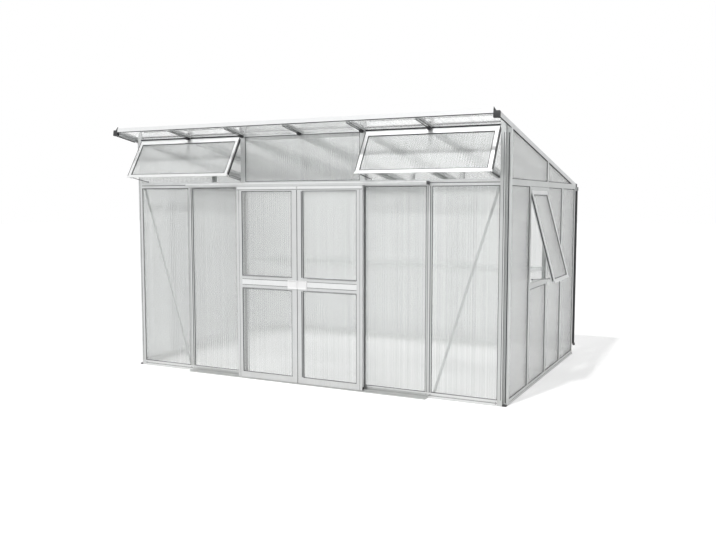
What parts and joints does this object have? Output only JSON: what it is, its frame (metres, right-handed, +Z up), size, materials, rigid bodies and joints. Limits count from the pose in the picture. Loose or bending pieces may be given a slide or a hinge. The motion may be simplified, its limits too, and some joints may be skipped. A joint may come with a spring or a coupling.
{
  "type": "lean to greenhouse",
  "caption": "Lean to greenhouse: metal frame glazed with cellular sheets, sliding doors under a hood, top hung vent flaps, a side window, a pitched roof and a rear gutter with downpipe.",
  "frame": {"origin": "middle of the front sill's underside, on the ground", "axes": "+X along the front to the right as seen from outside, +Y inward to the rear wall, +Z up"},
  "size_m": [4.0652, 2.9389, 2.369],
  "materials": {
    "frame_section": "satin mill finish extrusion",
    "bright_rail": "satin light extrusion",
    "vent_frame": "satin light extrusion",
    "roof_bar": "satin, shaded",
    "stay_bar": "satin",
    "twin_wall_sheet": "translucent fluted sheet",
    "white_plastic": "moulded",
    "black_plastic": "extruded"
  },
  "bodies": {
    "greenhouse_frame": {"front_sill": "frame_section", "rear_sill": "frame_section", "left_sill": "frame_section", "right_sill": "frame_section", "front_left_corner_post": "frame_section", "front_right_corner_post": "frame_section", "rear_left_corner_post": "frame_section", "rear_right_corner_post": "frame_section", "front_left_post": "frame_section", "front_right_post": "frame_section", "left_door_post": "frame_section", "right_door_post": "frame_section", "front_mid_beam": "bright_rail", "front_top_rail": "bright_rail", "door_head_track": "bright_rail", "door_floor_track": "frame_section", "front_left_brace": "frame_section", "front_right_brace": "frame_section", "left_gable_rafter": "roof_bar", "right_gable_rafter": "roof_bar", "rafter_1": "frame_section", "rafter_2": "frame_section", "rafter_3": "frame_section", "rafter_4": "frame_section", "rafter_5": "frame_section", "roof_front_profile": "bright_rail", "rear_gutter": "frame_section", "downpipe": "black_plastic", "left_wall_frame": "frame_section", "right_wall_frame": "frame_section", "rear_wall_frame": "frame_section", "front_sheet_1": "twin_wall_sheet", "front_sheet_2": "twin_wall_sheet", "front_sheet_5": "twin_wall_sheet", "front_sheet_6": "twin_wall_sheet", "clerestory_sheet": "twin_wall_sheet", "roof_sheet_left": "twin_wall_sheet", "roof_sheet_right": "twin_wall_sheet", "left_wall_sheet": "twin_wall_sheet", "left_gable_sheet": "twin_wall_sheet", "rear_wall_sheet": "twin_wall_sheet", "right_sheet_front": "twin_wall_sheet", "right_sheet_window": "twin_wall_sheet", "right_sheet_rear": "twin_wall_sheet", "right_gable_sheet": "twin_wall_sheet"},
    "left_door": {"left_door_frame": "bright_rail", "left_door_sheet": "twin_wall_sheet", "left_door_grip": "white_plastic"},
    "right_door": {"right_door_frame": "bright_rail", "right_door_sheet": "twin_wall_sheet", "right_door_grip": "white_plastic"},
    "left_flap": {"left_flap_frame": "vent_frame", "left_flap_sheet": "twin_wall_sheet"},
    "left_stay": {"left_flap_stay": "stay_bar"},
    "right_flap": {"right_flap_frame": "vent_frame", "right_flap_sheet": "twin_wall_sheet"},
    "right_stay": {"right_flap_stay": "stay_bar"},
    "side_window": {"side_window_frame": "vent_frame", "side_window_sheet": "twin_wall_sheet"},
    "window_stay": {"side_window_stay": "stay_bar"}
  },
  "joints": [
    {"name": "left_door_slide", "type": "slide", "parent": "greenhouse_frame", "child": "left_door", "axis": [-1, 0, 0], "range_m": [0, 0.575]},
    {"name": "right_door_slide", "type": "slide", "parent": "greenhouse_frame", "child": "right_door", "axis": [1, 0, 0], "range_m": [0, 0.575]},
    {"name": "left_flap_hinge", "type": "hinge", "parent": "greenhouse_frame", "child": "left_flap", "pos_m": [-1.243, -0.019, 2.2505], "axis": [-1, 0, 0], "range_deg": [-31, 0]},
    {"name": "left_stay_pivot", "type": "hinge", "parent": "left_flap", "child": "left_stay", "pos_m": [-0.6705, -0.19699, 1.89021], "axis": [-1, 0, 0], "range_deg": [0, 21.3]},
    {"name": "right_flap_hinge", "type": "hinge", "parent": "greenhouse_frame", "child": "right_flap", "pos_m": [1.243, -0.019, 2.2505], "axis": [-1, 0, 0], "range_deg": [-31, 0]},
    {"name": "right_stay_pivot", "type": "hinge", "parent": "right_flap", "child": "right_stay", "pos_m": [1.8155, -0.19699, 1.89021], "axis": [-1, 0, 0], "range_deg": [0, 21.3]},
    {"name": "side_window_hinge", "type": "hinge", "parent": "greenhouse_frame", "child": "side_window", "pos_m": [1.916, 0.945, 1.758], "axis": [0, -1, 0], "range_deg": [-15.1, 0]},
    {"name": "window_stay_pivot", "type": "hinge", "parent": "side_window", "child": "window_stay", "pos_m": [2.09463, 0.945, 0.9693], "axis": [0, -1, 0], "range_deg": [0, 10.5]}
  ],
  "couplings": [
    {"joint": "left_stay_pivot", "follows": "left_flap_hinge", "ratio": -0.68148},
    {"joint": "right_stay_pivot", "follows": "right_flap_hinge", "ratio": -0.68148},
    {"joint": "window_stay_pivot", "follows": "side_window_hinge", "ratio": -0.68455}
  ]
}
